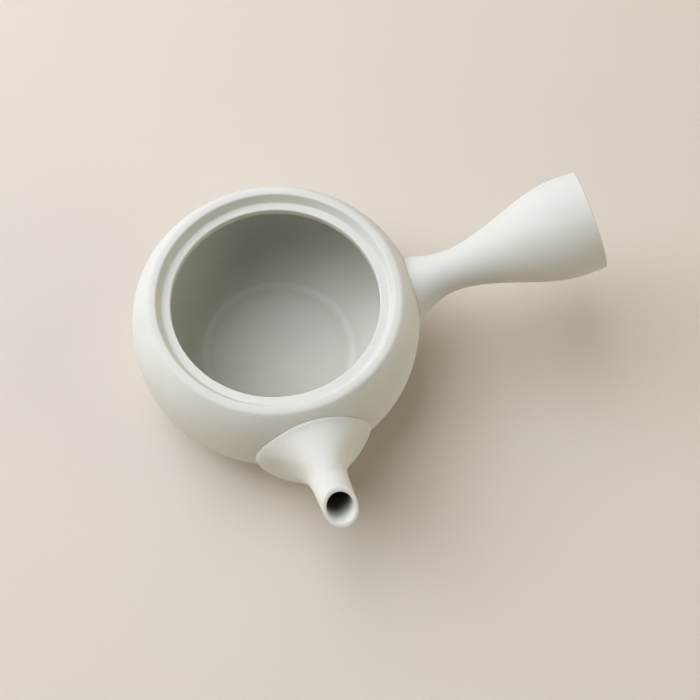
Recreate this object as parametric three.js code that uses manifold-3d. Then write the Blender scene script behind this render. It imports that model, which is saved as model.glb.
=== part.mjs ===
// A side-handled teapot (kyusu) in matt white clay, open, made as a potter makes it: a thrown pot with a
// gallery that seats a lid, a flared spout and a hollow trumpet handle luted to its belly, and a pierced
// strainer dome luted inside, over the pouring hole. Millimetres, +Z up. The origin is the middle of the
// base. The spout points along -Y and the handle stands almost a quarter turn from it, towards +X.
import * as THREE from "three";
import { mergeVertices } from "three/addons/utils/BufferGeometryUtils.js";
import Module from "manifold-3d";

const wasm = await Module();
wasm.setup();

// Belly: two superellipses of revolution that meet at the widest ring, cut off by the rim and by the base.
const BELLY_RADIUS = 52.2;
const SHOULDER_RISE = 33.3; // vertical semi-axis above the widest ring
const SHOULDER_FULLNESS = 2.55; // exponent of the superellipse
const UNDERSIDE_DROP = 30.5; // vertical semi-axis below the widest ring
const UNDERSIDE_FULLNESS = 2.8;
const BASE_RADIUS = 25.9;
const BASE_ROUND = 1.4; // height over which the underside is rounded into the flat base
const WALL = 3.4; // thickness of the belly at its widest ring

// Rim and gallery, from the outside of the rim inwards.
const RIM_INSET = 7.75; // of the rim's outer edge from the widest ring
const RIM_WIDTH = 2.65;
const RIM_ROUND = 1.2; // of its outer edge
const RIM_EDGE_ROUND = 0.6; // of its inner edge
const GALLERY_DEPTH = 2.7; // of the seat for the lid, below the top of the rim
const GALLERY_SLANT = 1.65; // by which the gallery's wall draws in on its way down
const GALLERY_FILLET = 0.45;
const LEDGE_WIDTH = 3.2;
const LEDGE_FALL = 0.8; // from the gallery's wall to the mouth
const LEDGE_THICKNESS = 2.9;
const LIP_ROUND = 0.4;
const LEDGE_UNDERCUT = 1.5; // height over which the ledge's underside curves into the wall

// Floor inside the pot.
const FLOOR_THICKNESS = 4.7;
const FLOOR_RADIUS = 28.9;
const FLOOR_FILLET = 1.8;
const HOLLOW_FULLNESS = 2.3; // exponent of the hollow's curve below the widest ring

// Spout, in its own upright plane. Reaches are measured out from the widest ring of the belly.
const SPOUT_RIM_RADIUS = 21.3; // of the bell where it meets the belly, seen from the front
const SPOUT_RIM_DROP = 2; // of the bell's middle below the widest ring
const SPOUT_RIM_STAND = 0.95; // of the bell's edge off the belly
const NECK_REACH = 18; // where the bell has become a tube
const NECK_RISE = 15.5; // of the neck's middle above the bell's middle
const NECK_SLOPE = 31.6; // degrees above level
const NECK_RADIUS = 6.3;
const TIP_REACH = 27.5;
const TIP_RISE = 22.8;
const TIP_SLOPE = 35.4;
const TIP_RADIUS = 5.88;
const TIP_FACING = 64.7; // degrees above level of the direction that the cut tip faces
const TIP_OVERRUN = 7; // length of tube made past the tip, which the cut takes off
const SPOUT_WALL = 2; // at the neck
const TIP_WALL = 1.3;
const BELL_WALL = 5.4; // clay between the bell's edge and its hollow, along the belly
const BORE_PULL = 0.75; // how full the hollow of the bell is beside its outside

// Handle: a hollow trumpet on a tilted axis through the pot's axis. Reaches are measured along the handle
// from a point as far from the pot's axis as the widest ring of the belly.
const HANDLE_TURN = 87.6; // degrees from the spout to the handle, seen from above
const HANDLE_TILT = 18; // degrees above level
const HANDLE_AXIS_HEIGHT = 19.5; // at which the handle's axis would cross the pot's axis
const ROOT_RADIUS = 12.9; // of the flare where it meets the belly
const ROOT_RISE = 3.3; // of the flare's middle above the widest ring
const WAIST_REACH = 16.3;
const WAIST_RADIUS = 7.6;
const TRUMPET_REACH = 61.8; // where the trumpet is widest
const TRUMPET_RADIUS = 18.2;
const HANDLE_LENGTH = 69.5;
const HANDLE_END_RADIUS = 18;
const HANDLE_WALL = 3;
const HANDLE_LIP_ROUND = 1;
const SOCKET_REACH = 14; // where the hollow of the handle ends
const SOCKET_DISH = 2.5; // depth of the hollow's rounded bottom

// Shape of a flare round a joint, at its top, sides and bottom: the angle at which it leaves the belly, in
// degrees from the belly's tangent towards its own axis, and how strongly its curve is pulled at its two ends.
const even = (value) => ({ top: value, side: value, bottom: value });
const BELL = {
  leave: { top: 62.5, side: 73, bottom: 91 },
  edgePull: { top: 4.6, side: 5.3, bottom: 17.2 },
  neckPull: { top: 3, side: 19, bottom: 16.5 },
};
const ROOT = {
  leave: even(66.5),
  edgePull: even(0.8),
  neckPull: { top: 4, side: 8.5, bottom: 8.3 },
};
const FLARE_BLEND = 1.5; // how quickly a flare's shape changes from its sides to its top and bottom

// Strainer: part of a hollow ball whose middle lies just outside the pot's hollow.
const STRAINER_RADIUS = 16.5;
const STRAINER_SETBACK = 2.7; // of the ball's middle behind the wall's inner face
const STRAINER_WALL = 2.2;
const STRAINER_HOLE_RADIUS = 0.95;
const STRAINER_RINGS = [1, 6, 12, 18]; // holes in each ring, from the middle outwards
const STRAINER_RING_STEP = 12.5; // degrees between rings
const POUR_HOLE_RADIUS = 11;

const SEAM = 0.3; // gap left at each luted joint
const ROUND_FACETS = 56;
const SPOUT_FACETS = 32;
const HANDLE_FACETS = 32;
const BALL_FACETS = 24;
const HOLE_FACETS = 6;
const BELLY_STEPS = 16;
const SHOULDER_STEPS = 4;
const BOWL_STEPS = 9;
const BELL_STEPS = 9;
const TUBE_STEPS = 5;
const ROOT_STEPS = 7;
const TRUMPET_STEPS = 14;
const SOCKET_STEPS = 12;
const EDGE_STEPS = 3; // of a rounded edge
const FILLET_STEPS = 2;

const radians = THREE.MathUtils.degToRad;
const { lerp, smoothstep } = THREE.MathUtils;
const at = (x, y) => new THREE.Vector2(x, y);

// The other coordinate of a superellipse with the given semi-axes, at a distance along one of them.
const superellipse = (across, along, fullness, distance) =>
  across * Math.pow(1 - Math.pow(Math.min(1, Math.abs(distance) / along), fullness), 1 / fullness);

const BELLY_HEIGHT = superellipse(UNDERSIDE_DROP, BELLY_RADIUS, UNDERSIDE_FULLNESS, BASE_RADIUS);
const RIM_RADIUS = BELLY_RADIUS - RIM_INSET;
const RIM_HEIGHT = BELLY_HEIGHT + superellipse(SHOULDER_RISE, BELLY_RADIUS, SHOULDER_FULLNESS, RIM_RADIUS);
const GALLERY_RADIUS = RIM_RADIUS - RIM_WIDTH;
const LEDGE_RADIUS = GALLERY_RADIUS - GALLERY_SLANT;
const LEDGE_HEIGHT = RIM_HEIGHT - GALLERY_DEPTH;
const MOUTH_RADIUS = LEDGE_RADIUS - LEDGE_WIDTH;
const MOUTH_HEIGHT = LEDGE_HEIGHT - LEDGE_FALL;
const CEILING_HEIGHT = MOUTH_HEIGHT - LEDGE_THICKNESS;
const HOLLOW_RADIUS = BELLY_RADIUS - WALL;
const SPOUT_HEIGHT = BELLY_HEIGHT - SPOUT_RIM_DROP;

// Outer radius of the pot at height z, with the wall moved out by grow.
function bellyRadius(z, grow = 0) {
  const rise = z - BELLY_HEIGHT;
  const [reach, fullness] =
    rise > 0 ? [SHOULDER_RISE, SHOULDER_FULLNESS] : [UNDERSIDE_DROP, UNDERSIDE_FULLNESS];
  return superellipse(BELLY_RADIUS + grow, reach + grow, fullness, rise);
}

// Points on the belly's outline from base to rim, closer together towards both, moved out by grow.
function bellyOutline(grow = 0) {
  return Array.from({ length: BELLY_STEPS + 1 }, (_, i) => {
    const share = 0.5 - 0.5 * Math.cos((Math.PI * i) / BELLY_STEPS);
    const z = lerp(BASE_ROUND, RIM_HEIGHT - RIM_ROUND, share);
    return at(bellyRadius(z, grow), z);
  });
}

// The corner at b, between a and c, rounded from the given distance before it to the same after it.
function rounded(a, b, c, distance, steps = EDGE_STEPS) {
  const cut = (end) => end.clone().sub(b).setLength(Math.min(distance, 0.5 * end.distanceTo(b))).add(b);
  return new THREE.QuadraticBezierCurve(cut(a), b, cut(c)).getPoints(steps);
}

// Outline of the hollow of the pot, from under the ledge down to the floor's edge.
function hollowOutline() {
  const top = CEILING_HEIGHT - LEDGE_UNDERCUT - BELLY_HEIGHT;
  const shoulder = Array.from({ length: SHOULDER_STEPS }, (_, i) => {
    const rise = top * (1 - i / SHOULDER_STEPS);
    return at(superellipse(HOLLOW_RADIUS, SHOULDER_RISE - WALL, SHOULDER_FULLNESS, rise), BELLY_HEIGHT + rise);
  });
  const depth = BELLY_HEIGHT - FLOOR_THICKNESS;
  const drop = depth / superellipse(1, HOLLOW_RADIUS, HOLLOW_FULLNESS, FLOOR_RADIUS);
  const bowl = Array.from({ length: BOWL_STEPS + 1 }, (_, i) => {
    const fall = depth * Math.sin((Math.PI / 2) * (i / BOWL_STEPS));
    return at(superellipse(HOLLOW_RADIUS, drop, HOLLOW_FULLNESS, fall), BELLY_HEIGHT - fall);
  });
  return [...shoulder, ...bowl];
}

function potProfile() {
  const belly = bellyOutline();
  const baseEdge = at(bellyRadius(0), 0);
  const rimOuter = at(RIM_RADIUS, RIM_HEIGHT);
  const rimInner = at(GALLERY_RADIUS, RIM_HEIGHT);
  const ledge = at(LEDGE_RADIUS, LEDGE_HEIGHT);
  const lipTop = at(MOUTH_RADIUS, MOUTH_HEIGHT);
  const lipUnder = at(MOUTH_RADIUS, CEILING_HEIGHT);
  const hollow = hollowOutline();
  const ceiling = at(hollow[0].x, CEILING_HEIGHT);
  const floorEdge = hollow.at(-1);
  const floorMiddle = at(0, FLOOR_THICKNESS);
  return [
    at(0, 0),
    ...rounded(at(0, 0), baseEdge, belly[0], BASE_ROUND, FILLET_STEPS),
    ...belly,
    ...rounded(belly.at(-1), rimOuter, rimInner, RIM_ROUND),
    ...rounded(rimOuter, rimInner, ledge, RIM_EDGE_ROUND),
    ...rounded(rimInner, ledge, lipTop, GALLERY_FILLET, FILLET_STEPS),
    ...rounded(ledge, lipTop, lipUnder, LIP_ROUND),
    ...rounded(lipTop, lipUnder, ceiling, LIP_ROUND),
    ...rounded(lipUnder, ceiling, hollow[0], LEDGE_UNDERCUT, FILLET_STEPS),
    ...hollow.slice(1, -1),
    ...rounded(hollow.at(-2), floorEdge, floorMiddle, FLOOR_FILLET),
    floorMiddle,
  ];
}

function solidOf(geometry) {
  const plain = geometry.clone();
  plain.deleteAttribute("normal");
  plain.deleteAttribute("uv");
  const merged = mergeVertices(plain);
  const vertProperties = merged.attributes.position.array;
  const triVerts = new Uint32Array(merged.index.array);
  const solid = new wasm.Manifold(new wasm.Mesh({ numProp: 3, vertProperties, triVerts }));
  if (solid.volume() > 0) return solid;
  triVerts.reverse();
  return new wasm.Manifold(new wasm.Mesh({ numProp: 3, vertProperties, triVerts }));
}

function geometryOf(solid) {
  const { numProp, vertProperties, triVerts } = solid.getMesh();
  const geometry = new THREE.BufferGeometry();
  geometry.setAttribute("position", new THREE.BufferAttribute(vertProperties, numProp));
  geometry.setIndex(new THREE.BufferAttribute(triVerts, 1));
  geometry.computeVertexNormals();
  return geometry;
}

// A body of revolution about +Z from a profile that starts and ends on the axis.
function revolve(profile, facets) {
  const geometry = new THREE.LatheGeometry(profile, facets);
  geometry.rotateX(Math.PI / 2);
  return solidOf(geometry);
}

// A closed body through rings of equally many points, with a flat cap at each end.
function loft(rings) {
  const count = rings[0].length;
  const index = [];
  for (let ring = 0; ring + 1 < rings.length; ring++)
    for (let i = 0; i < count; i++) {
      const a = ring * count + i;
      const b = ring * count + ((i + 1) % count);
      index.push(a, b, a + count, b, b + count, a + count);
    }
  const last = (rings.length - 1) * count;
  for (let i = 1; i + 1 < count; i++) index.push(0, i + 1, i, last, last + i, last + i + 1);
  const points = rings.flat().flatMap((p) => p.toArray());
  const geometry = new THREE.BufferGeometry();
  geometry.setAttribute("position", new THREE.Float32BufferAttribute(points, 3));
  geometry.setIndex(index);
  return solidOf(geometry);
}

// Everything luted to the belly is shaped facing -Y. Its upright plane has the distance out from the pot's
// axis and the height as coordinates; beyondBelly gives a point there by its reach past the widest ring.
const beyondBelly = (reach, height) => at(BELLY_RADIUS + reach, height);
const direction = (slope) => at(Math.cos(radians(slope)), Math.sin(radians(slope)));
const turns = (count) => Array.from({ length: count }, (_, i) => (2 * Math.PI * i) / count);

// A ring round a centre line of the upright plane, square to the line's heading there.
function tubeRing(angles, middle, heading, radius) {
  return angles.map((angle) => {
    const lift = radius * Math.sin(angle);
    const out = middle.x - heading.y * lift;
    return new THREE.Vector3(radius * Math.cos(angle), -out, middle.y + heading.x * lift);
  });
}

// A ring on the belly round a point at the given height, standing off the belly by stand.
function bellyRing(angles, height, radius, stand) {
  return angles.map((angle) => {
    const x = radius * Math.cos(angle);
    const z = height + radius * Math.sin(angle);
    return new THREE.Vector3(x, -Math.sqrt(bellyRadius(z, stand) ** 2 - x * x), z);
  });
}

// A value of a flare's shape at an angle round it: 0 is its side, a quarter turn its top.
function roundFlare(values, angle) {
  const end = Math.sin(angle) > 0 ? values.top : values.bottom;
  return lerp(values.side, end, Math.pow(Math.abs(Math.sin(angle)), FLARE_BLEND));
}

// Rings of a flare from a rim on the belly to a neck, on a cubic curve at each angle. The neck's heading is
// a direction of the upright plane.
function flareRings(angles, rim, neck, heading, shape, pull, steps) {
  const axis = new THREE.Vector3(0, -heading.x, heading.y);
  const meridians = angles.map((angle, i) => {
    const leave = radians(roundFlare(shape.leave, angle));
    const inward = Math.cos(leave);
    const start = new THREE.Vector3(-Math.cos(angle) * inward, -Math.sin(leave), -Math.sin(angle) * inward);
    const edge = rim[i].clone().addScaledVector(start, pull * roundFlare(shape.edgePull, angle));
    const end = neck[i].clone().addScaledVector(axis, -pull * roundFlare(shape.neckPull, angle));
    return new THREE.CubicBezierCurve3(rim[i], edge, end, neck[i]);
  });
  return Array.from({ length: steps + 1 }, (_, i) => meridians.map((curve) => curve.getPoint(i / steps)));
}

// Centre line of the spout's tube from the neck to the tip.
function tubeLine() {
  const neck = beyondBelly(NECK_REACH, SPOUT_HEIGHT + NECK_RISE);
  const tip = beyondBelly(TIP_REACH, SPOUT_HEIGHT + TIP_RISE);
  const third = neck.distanceTo(tip) / 3;
  const leaveNeck = neck.clone().addScaledVector(direction(NECK_SLOPE), third);
  const reachTip = tip.clone().addScaledVector(direction(TIP_SLOPE), -third);
  return new THREE.CubicBezierCurve(neck, leaveNeck, reachTip, tip);
}

// The spout's outside or its bore: a bell on the belly that becomes a tube.
function spoutBody(rimRadius, stand, pull, neckRadius, tipRadius) {
  const angles = turns(SPOUT_FACETS);
  const line = tubeLine();
  const heading = line.getTangent(0);
  const rim = bellyRing(angles, SPOUT_HEIGHT, rimRadius, stand);
  const neck = tubeRing(angles, line.getPoint(0), heading, neckRadius);
  const rings = [
    bellyRing(angles, SPOUT_HEIGHT, rimRadius, -WALL / 2),
    ...flareRings(angles, rim, neck, heading, BELL, pull, BELL_STEPS),
  ];
  for (let i = 1; i <= TUBE_STEPS; i++) {
    const share = i / TUBE_STEPS;
    const radius = lerp(neckRadius, tipRadius, share);
    rings.push(tubeRing(angles, line.getPoint(share), line.getTangent(share), radius));
  }
  const tipHeading = line.getTangent(1);
  const beyond = line.getPoint(1).addScaledVector(tipHeading, TIP_OVERRUN);
  rings.push(tubeRing(angles, beyond, tipHeading, tipRadius));
  return loft(rings);
}

// The space in front of the tip's oblique cut.
function tipCutter() {
  const size = 4 * SPOUT_RIM_RADIUS;
  const tip = beyondBelly(TIP_REACH, SPOUT_HEIGHT + TIP_RISE);
  const block = new THREE.BoxGeometry(size, size, size);
  block.translate(0, 0, size / 2);
  block.rotateX(Math.PI / 2 - radians(TIP_FACING));
  block.translate(0, -tip.x, tip.y);
  return solidOf(block);
}

// The pot's outside as a plain body, grown by the seam: what the spout and the handle are cut by.
function bellyEnvelope() {
  const outline = bellyOutline(SEAM);
  return revolve([at(0, outline[0].y), ...outline, at(0, outline.at(-1).y)], ROUND_FACETS);
}

function spoutSolid() {
  const outside = spoutBody(SPOUT_RIM_RADIUS, SPOUT_RIM_STAND, 1, NECK_RADIUS, TIP_RADIUS);
  const boreRim = SPOUT_RIM_RADIUS - BELL_WALL;
  const bore = spoutBody(boreRim, 0, BORE_PULL, NECK_RADIUS - SPOUT_WALL, TIP_RADIUS - TIP_WALL);
  return outside.subtract(bore).subtract(tipCutter()).subtract(bellyEnvelope());
}

// Outer radius of the handle at a reach between its waist and its end.
function handleRadius(reach) {
  const trumpet = lerp(WAIST_RADIUS, TRUMPET_RADIUS, smoothstep(reach, WAIST_REACH, TRUMPET_REACH));
  return trumpet + (HANDLE_END_RADIUS - TRUMPET_RADIUS) * smoothstep(reach, TRUMPET_REACH, HANDLE_LENGTH);
}

// Radius and reach of points along the handle, drawn in by inset.
function handleOutline(from, to, steps, inset) {
  return Array.from({ length: steps + 1 }, (_, i) => {
    const reach = lerp(from, to, i / steps);
    return at(handleRadius(reach) - inset, reach);
  });
}

// The handle before it is hollowed: a flare from the belly to the waist, then the trumpet with its lip.
function handleBody(lip) {
  const angles = turns(HANDLE_FACETS);
  const heading = direction(HANDLE_TILT);
  const height = BELLY_HEIGHT + ROOT_RISE;
  const across = (p) => {
    const middle = at(0, HANDLE_AXIS_HEIGHT).addScaledVector(heading, BELLY_RADIUS + p.y);
    return tubeRing(angles, middle, heading, p.x);
  };
  const trumpet = handleOutline(WAIST_REACH, HANDLE_LENGTH - HANDLE_LIP_ROUND, TRUMPET_STEPS, 0);
  const edge = rounded(trumpet.at(-1), at(HANDLE_END_RADIUS, HANDLE_LENGTH), lip, HANDLE_LIP_ROUND);
  const rim = bellyRing(angles, height, ROOT_RADIUS, 0);
  return loft([
    bellyRing(angles, height, ROOT_RADIUS, -WALL / 2),
    ...flareRings(angles, rim, across(trumpet[0]), heading, ROOT, 1, ROOT_STEPS),
    ...[...trumpet.slice(1, -1), ...edge].map(across),
  ]);
}

// The hollow of the handle, widened at the lip by the lip's rounding and taken on past the end.
function handleSocket(lip) {
  const wall = handleOutline(SOCKET_REACH, HANDLE_LENGTH - HANDLE_LIP_ROUND, SOCKET_STEPS, HANDLE_WALL);
  const edge = rounded(wall.at(-1), lip, at(HANDLE_END_RADIUS, HANDLE_LENGTH), HANDLE_LIP_ROUND);
  const past = HANDLE_LENGTH + HANDLE_LIP_ROUND;
  const bottom = at(0, SOCKET_REACH - SOCKET_DISH);
  const profile = [bottom, ...wall.slice(0, -1), ...edge, at(edge.at(-1).x, past), at(0, past)];
  const geometry = new THREE.LatheGeometry(profile, HANDLE_FACETS);
  geometry.translate(0, BELLY_RADIUS, 0);
  geometry.rotateX(Math.PI - radians(HANDLE_TILT));
  geometry.translate(0, 0, HANDLE_AXIS_HEIGHT);
  return solidOf(geometry);
}

function handleSolid() {
  const lip = at(HANDLE_END_RADIUS - HANDLE_WALL, HANDLE_LENGTH);
  const facing = handleBody(lip).subtract(handleSocket(lip)).subtract(bellyEnvelope());
  return facing.rotate([0, 0, HANDLE_TURN]);
}

// A rod along -Y at the spout's height, between two distances from the pot's axis.
function rod(radius, from, to, facets) {
  const geometry = new THREE.CylinderGeometry(radius, radius, to - from, facets);
  geometry.translate(0, -(from + to) / 2, SPOUT_HEIGHT);
  return solidOf(geometry);
}

function potSolid() {
  const pouringHole = rod(POUR_HOLE_RADIUS, HOLLOW_RADIUS - STRAINER_RADIUS, BELLY_RADIUS + WALL, SPOUT_FACETS);
  return revolve(potProfile(), ROUND_FACETS).subtract(pouringHole);
}

// The pot's hollow as a plain body, drawn in by the seam.
function hollowSpace() {
  const outline = hollowOutline().map((p) => at(p.x - SEAM, p.y)).reverse();
  return revolve([at(0, outline[0].y), ...outline, at(0, outline.at(-1).y)], ROUND_FACETS);
}

function strainerSolid() {
  const middle = HOLLOW_RADIUS + STRAINER_SETBACK;
  const place = (geometry) => solidOf(geometry.translate(0, -middle, SPOUT_HEIGHT));
  const ball = (radius) => place(new THREE.SphereGeometry(radius, BALL_FACETS, BALL_FACETS / 2));
  const shell = ball(STRAINER_RADIUS).subtract(ball(STRAINER_RADIUS - STRAINER_WALL));
  const holes = STRAINER_RINGS.flatMap((count, ring) =>
    Array.from({ length: count }, (_, i) => {
      const pin = new THREE.CylinderGeometry(
        STRAINER_HOLE_RADIUS, STRAINER_HOLE_RADIUS, 2 * STRAINER_WALL, HOLE_FACETS);
      pin.translate(0, STRAINER_RADIUS - STRAINER_WALL / 2, 0);
      pin.rotateX(radians(ring * STRAINER_RING_STEP));
      pin.rotateY((2 * Math.PI * i) / count);
      return place(pin);
    }));
  return holes.reduce((dome, hole) => dome.subtract(hole), shell.intersect(hollowSpace()));
}

function piece(name, solid, color, roughness) {
  const clay = new THREE.MeshStandardMaterial({ color, roughness, metalness: 0 });
  const mesh = new THREE.Mesh(geometryOf(solid), clay);
  mesh.name = name;
  return mesh;
}

const kyusu = new THREE.Group();
kyusu.add(piece("pot", potSolid(), 0xe6e7e2, 0.62));
kyusu.add(piece("spout", spoutSolid(), 0xe6e7e2, 0.62));
kyusu.add(piece("handle", handleSolid(), 0xe6e7e2, 0.62));
kyusu.add(piece("strainer", strainerSolid(), 0xdedfda, 0.7));

export default kyusu;
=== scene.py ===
"""An open side-handled teapot in matt white clay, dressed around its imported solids.

The teapot's sizes are in millimetres, as a potter gives them, and become metres where meshes and masks
are made. The origin is the middle of the pot's base, +Z is up, the spout points along -Y and the handle
stands almost a quarter turn from it, towards +X.
"""

import logging
import math
from dataclasses import dataclass, field
from enum import Enum

import bpy
import numpy as np
from mathutils import Matrix
from numpy.typing import NDArray


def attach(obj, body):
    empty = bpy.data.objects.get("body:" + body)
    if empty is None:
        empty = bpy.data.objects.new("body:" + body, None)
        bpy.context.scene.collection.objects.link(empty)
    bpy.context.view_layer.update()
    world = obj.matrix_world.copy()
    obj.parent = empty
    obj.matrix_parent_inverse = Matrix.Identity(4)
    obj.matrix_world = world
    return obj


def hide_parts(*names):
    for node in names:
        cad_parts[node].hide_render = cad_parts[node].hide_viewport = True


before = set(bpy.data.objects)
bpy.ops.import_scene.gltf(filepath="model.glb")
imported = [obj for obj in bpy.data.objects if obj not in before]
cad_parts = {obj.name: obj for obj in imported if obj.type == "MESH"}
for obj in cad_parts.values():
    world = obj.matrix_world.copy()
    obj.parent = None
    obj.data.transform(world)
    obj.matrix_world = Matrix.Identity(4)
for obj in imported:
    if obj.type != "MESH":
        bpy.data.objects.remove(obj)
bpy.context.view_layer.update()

MM = 0.001  # metres
SEAM = 0.06  # millimetres between two luted pieces
BODY = "root"

Array = NDArray[np.float64]
Pair = tuple[float, float]
Triple = tuple[float, float, float]
Node = bpy.types.Node
Socket = bpy.types.NodeSocket
log = logging.getLogger("teapot")


class Slot(Enum):
    """The record's material slots."""

    CLAY = "clay"
    INNER_CLAY = "inner_clay"


class Keep(Enum):
    """What is left of a piece that is cut with a tool."""

    OUTSIDE = "DIFFERENCE"
    INSIDE = "INTERSECT"


# Curves and grids


def superellipse(across: float, along: float, fullness: float, distance: Array) -> Array:
    """The other coordinate of a superellipse: across * (1 - |distance / along|^fullness)^(1 / fullness).

    Args:
        across: semi-axis of the coordinate that is returned.
        along: semi-axis of the coordinate that is given.
        fullness: the exponent.
        distance: the given coordinate, from the middle.

    Returns:
        The coordinate at each distance.
    """
    share = np.minimum(1.0, np.abs(distance) / along)
    return across * (1.0 - share**fullness) ** (1.0 / fullness)


def smoothstep(value: Array, low: float, high: float) -> Array:
    """3 t^2 - 2 t^3 of t, the share of the way from low to high, kept between 0 and 1."""
    t = np.clip((np.asarray(value, float) - low) / (high - low), 0.0, 1.0)
    return t * t * (3.0 - 2.0 * t)


def bezier(*controls: Array, steps: int) -> Array:
    """Points on a Bezier curve: the sum of binomial(n, k) t^k (1 - t)^(n - k) times control k.

    Args:
        controls: arrays of one shape, a curve for each entry of their leading axes.
        steps: number of stretches between the points.

    Returns:
        An array with a new first axis of steps + 1 points.
    """
    order = len(controls) - 1
    t = np.linspace(0.0, 1.0, steps + 1).reshape((-1,) + (1,) * controls[0].ndim)
    return sum(
        math.comb(order, k) * t**k * (1.0 - t) ** (order - k) * control for k, control in enumerate(controls)
    )


def rounded(before: Array, corner: Array, after: Array, size: float, steps: int = 6) -> Array:
    """A corner rounded by a quadratic Bezier curve that starts and ends at the given distance from it.

    Args:
        before: a point, or a row of points, on the way to the corner.
        corner: the corner, of the same shape.
        after: a point on the way from the corner.
        size: distance from the corner at which the rounding starts and ends.
        steps: number of stretches on the curve.

    Returns:
        steps + 1 points or rows.
    """

    def shortened(end: Array) -> Array:
        """The point at the rounding's size from the corner, or half the way to end if that is nearer.

        Args:
            end: the point before or after the corner.

        Returns:
            The point on the way to it.
        """
        way = end - corner
        length = np.linalg.norm(way, axis=-1, keepdims=True)
        return corner + way / length * np.minimum(size, 0.5 * length)

    return bezier(shortened(before), corner, shortened(after), steps=steps)


def turns(count: int) -> Array:
    """Angles of count equal steps round a circle, from 0."""
    return np.arange(count) * (2.0 * np.pi / count)


def direction(slope: float) -> Array:
    """Unit vector of a plane at slope degrees from its first axis: (cos, sin)."""
    return np.array([math.cos(math.radians(slope)), math.sin(math.radians(slope))])


def lathe(profile: Array, around: int) -> Array:
    """A profile of (radius, height) turned about the pot's axis: (r sin a, -r cos a, z).

    Args:
        profile: n points.
        around: number of columns.

    Returns:
        A grid of n x around points.
    """
    a = turns(around)
    r, z = profile[:, :1], profile[:, 1:]
    return np.stack([r * np.sin(a), -r * np.cos(a), np.broadcast_to(z, (len(profile), around))], axis=-1)


def across(angles: Array, middle: Array, heading: Array, radius: Array) -> Array:
    """Rings square to a centre line of the upright plane.

    Each is middle + r (cos a across the plane + sin a along the line's normal in it).

    Args:
        angles: the angles round each ring, 0 at +X.
        middle: n points (distance out, height) of the centre line.
        heading: the line's unit direction at each.
        radius: the radius of each ring.

    Returns:
        A grid of n x len(angles) points.
    """
    middle, heading, radius = np.atleast_2d(middle), np.atleast_2d(heading), np.atleast_1d(radius)[:, None]
    lift = radius * np.sin(angles)
    out = middle[:, :1] - heading[:, 1:] * lift
    return np.stack([radius * np.cos(angles), -out, middle[:, 1:] + heading[:, :1] * lift], axis=-1)


# Meshes


def placed(name: str, data: bpy.types.ID) -> bpy.types.Object:
    """An object at the origin, linked to the scene.

    Args:
        name: the object's name.
        data: its mesh, lamp or camera.

    Returns:
        The object.
    """
    item = bpy.data.objects.new(name, data)
    bpy.context.scene.collection.objects.link(item)
    return item


@dataclass(frozen=True)
class Skin:
    """A closed surface: rows of points that run round, joined end to end or ended in a pole."""

    rows: Array
    joined: bool = False

    def faces(self) -> tuple[Array, Array, Array]:
        """Vertices, and the quads and triangles between them, wound so that the enclosed volume is positive.

        Returns:
            Vertices in millimetres, quads and triangles.
        """
        n, m = self.rows.shape[:2]
        spans = n if self.joined else n - 1
        i, j = np.meshgrid(np.arange(spans), np.arange(m), indexing="ij")
        nxt, right = (i + 1) % n, (j + 1) % m
        quads = np.stack([i * m + j, i * m + right, nxt * m + right, nxt * m + j], axis=-1).reshape(-1, 4)
        points = self.rows.reshape(-1, 3)
        triangles = np.empty((0, 3), int)
        if not self.joined:
            first, last = len(points), len(points) + 1
            c = np.arange(m)
            d = (c + 1) % m
            poles = [self.rows[0].mean(axis=0), self.rows[-1].mean(axis=0)]
            points = np.concatenate([points, poles])
            start = np.stack([np.full(m, first), d, c], axis=-1)
            end = np.stack([np.full(m, last), (n - 1) * m + c, (n - 1) * m + d], axis=-1)
            triangles = np.concatenate([start, end])
        if signed_volume(points, quads, triangles) < 0.0:
            quads, triangles = quads[:, ::-1], triangles[:, ::-1]
        return points, quads, triangles


def signed_volume(points: Array, quads: Array, triangles: Array) -> float:
    """The volume inside: a sixth of the sum of a . (b x c) over all triangles.

    Args:
        points: the vertices.
        quads: four vertex numbers a row.
        triangles: three vertex numbers a row.

    Returns:
        The volume, positive when the faces point out.
    """
    halves = np.concatenate([quads[:, [0, 1, 2]], quads[:, [0, 2, 3]], triangles])
    a, b, c = (points[halves[:, k]] for k in range(3))
    return float(np.einsum("ij,ij->", a, np.cross(b, c)) / 6.0)


def mesh_of(name: str, skins: list[Skin]) -> bpy.types.Object:
    """An object with its origin at the frame's, made of one or more closed surfaces, smooth shaded.

    Args:
        name: the object's and the mesh's name.
        skins: the surfaces, in millimetres.

    Returns:
        The object, linked to the scene.
    """
    parts = [skin.faces() for skin in skins]
    offsets = np.cumsum([0] + [len(points) for points, _, _ in parts])
    points = np.concatenate([points for points, _, _ in parts]) * MM
    quads = np.concatenate([q + o for (_, q, _), o in zip(parts, offsets)])
    triangles = np.concatenate([t + o for (_, _, t), o in zip(parts, offsets)])
    corners = np.concatenate([quads.ravel(), triangles.ravel()]).astype(np.int32)
    sizes = np.concatenate([np.full(len(quads), 4), np.full(len(triangles), 3)])
    starts = np.concatenate([[0], np.cumsum(sizes)[:-1]]).astype(np.int32)
    mesh = bpy.data.meshes.new(name)
    mesh.vertices.add(len(points))
    mesh.vertices.foreach_set("co", points.astype(np.float32).ravel())
    mesh.loops.add(len(corners))
    mesh.loops.foreach_set("vertex_index", corners)
    mesh.polygons.add(len(sizes))
    mesh.polygons.foreach_set("loop_start", starts)
    mesh.polygons.foreach_set("use_smooth", np.ones(len(sizes), bool))
    mesh.update(calc_edges=True)
    mesh.validate()
    return placed(name, mesh)


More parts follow.
